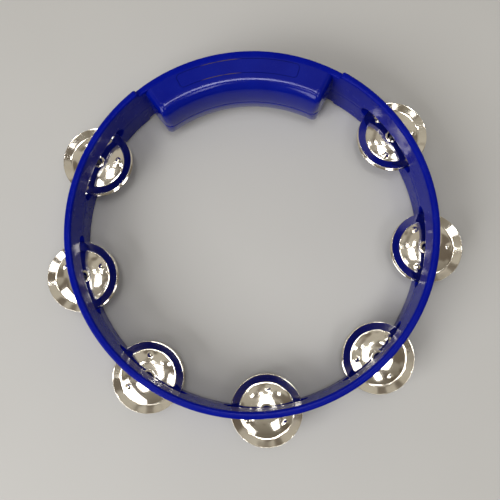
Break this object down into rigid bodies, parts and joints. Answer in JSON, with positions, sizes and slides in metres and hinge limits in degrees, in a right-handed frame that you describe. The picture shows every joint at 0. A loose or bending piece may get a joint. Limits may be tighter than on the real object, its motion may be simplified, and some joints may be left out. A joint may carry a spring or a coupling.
{
  "type": "tambourine",
  "caption": "Round headless hand tambourine: blue moulded frame with a bulged hand grip, and pairs of domed nickel jingles loose on pins in slots around the wall.",
  "frame": {"origin": "bottom centre of the whole object's box, on the surface that the lower rim rests on", "axes": "+Z along the frame's axis, up; +Y towards the grip; +X to the right seen from above with the grip at the far side"},
  "size_m": [0.2938, 0.2754, 0.05],
  "materials": {
    "blue_plastic": "glossy moulded plastic, through-coloured deep blue",
    "grip_plastic": "glossy moulded plastic, through-coloured deep blue",
    "nickel_plate": "bright nickel plate on pressed steel sheet",
    "pin_steel": "plain drawn steel rod"
  },
  "bodies": {
    "frame": {"frame_upper_half": "blue_plastic", "frame_lower_half": "blue_plastic", "grip_upper_half": "grip_plastic", "grip_lower_half": "grip_plastic", "jingle_pin_1": "pin_steel", "jingle_pin_2": "pin_steel", "jingle_pin_3": "pin_steel", "jingle_pin_4": "pin_steel", "jingle_pin_5": "pin_steel", "jingle_pin_6": "pin_steel", "jingle_pin_7": "pin_steel"},
    "lower_jingle_1": {"lower_jingle_1": "nickel_plate"},
    "upper_jingle_1": {"upper_jingle_1": "nickel_plate"},
    "lower_jingle_2": {"lower_jingle_2": "nickel_plate"},
    "upper_jingle_2": {"upper_jingle_2": "nickel_plate"},
    "lower_jingle_3": {"lower_jingle_3": "nickel_plate"},
    "upper_jingle_3": {"upper_jingle_3": "nickel_plate"},
    "lower_jingle_4": {"lower_jingle_4": "nickel_plate"},
    "upper_jingle_4": {"upper_jingle_4": "nickel_plate"},
    "lower_jingle_5": {"lower_jingle_5": "nickel_plate"},
    "upper_jingle_5": {"upper_jingle_5": "nickel_plate"},
    "lower_jingle_6": {"lower_jingle_6": "nickel_plate"},
    "upper_jingle_6": {"upper_jingle_6": "nickel_plate"},
    "lower_jingle_7": {"lower_jingle_7": "nickel_plate"},
    "upper_jingle_7": {"upper_jingle_7": "nickel_plate"}
  },
  "joints": [
    {"name": "lower_jingle_1_spin", "type": "hinge", "parent": "frame", "child": "lower_jingle_1", "pos_m": [-0.10747, 0.07325, 0.025], "axis": [0, 0, 1], "continuous": true},
    {"name": "upper_jingle_1_lift", "type": "slide", "parent": "lower_jingle_1", "child": "upper_jingle_1", "axis": [0, 0, 1], "range_m": [0, 0.0053]},
    {"name": "lower_jingle_2_spin", "type": "hinge", "parent": "frame", "child": "lower_jingle_2", "pos_m": [-0.12222, -0.01035, 0.025], "axis": [0, 0, 1], "continuous": true},
    {"name": "upper_jingle_2_lift", "type": "slide", "parent": "lower_jingle_2", "child": "upper_jingle_2", "axis": [0, 0, 1], "range_m": [0, 0.0053]},
    {"name": "lower_jingle_3_spin", "type": "hinge", "parent": "frame", "child": "lower_jingle_3", "pos_m": [-0.07977, -0.08387, 0.025], "axis": [0, 0, 1], "continuous": true},
    {"name": "upper_jingle_3_lift", "type": "slide", "parent": "lower_jingle_3", "child": "upper_jingle_3", "axis": [0, 0, 1], "range_m": [0, 0.0053]},
    {"name": "lower_jingle_4_spin", "type": "hinge", "parent": "frame", "child": "lower_jingle_4", "pos_m": [0, -0.1129, 0.025], "axis": [0, 0, 1], "continuous": true},
    {"name": "upper_jingle_4_lift", "type": "slide", "parent": "lower_jingle_4", "child": "upper_jingle_4", "axis": [0, 0, 1], "range_m": [0, 0.0053]},
    {"name": "lower_jingle_5_spin", "type": "hinge", "parent": "frame", "child": "lower_jingle_5", "pos_m": [0.07977, -0.08387, 0.025], "axis": [0, 0, 1], "continuous": true},
    {"name": "upper_jingle_5_lift", "type": "slide", "parent": "lower_jingle_5", "child": "upper_jingle_5", "axis": [0, 0, 1], "range_m": [0, 0.0053]},
    {"name": "lower_jingle_6_spin", "type": "hinge", "parent": "frame", "child": "lower_jingle_6", "pos_m": [0.12222, -0.01035, 0.025], "axis": [0, 0, 1], "continuous": true},
    {"name": "upper_jingle_6_lift", "type": "slide", "parent": "lower_jingle_6", "child": "upper_jingle_6", "axis": [0, 0, 1], "range_m": [0, 0.0053]},
    {"name": "lower_jingle_7_spin", "type": "hinge", "parent": "frame", "child": "lower_jingle_7", "pos_m": [0.10747, 0.07325, 0.025], "axis": [0, 0, 1], "continuous": true},
    {"name": "upper_jingle_7_lift", "type": "slide", "parent": "lower_jingle_7", "child": "upper_jingle_7", "axis": [0, 0, 1], "range_m": [0, 0.0053]}
  ]
}
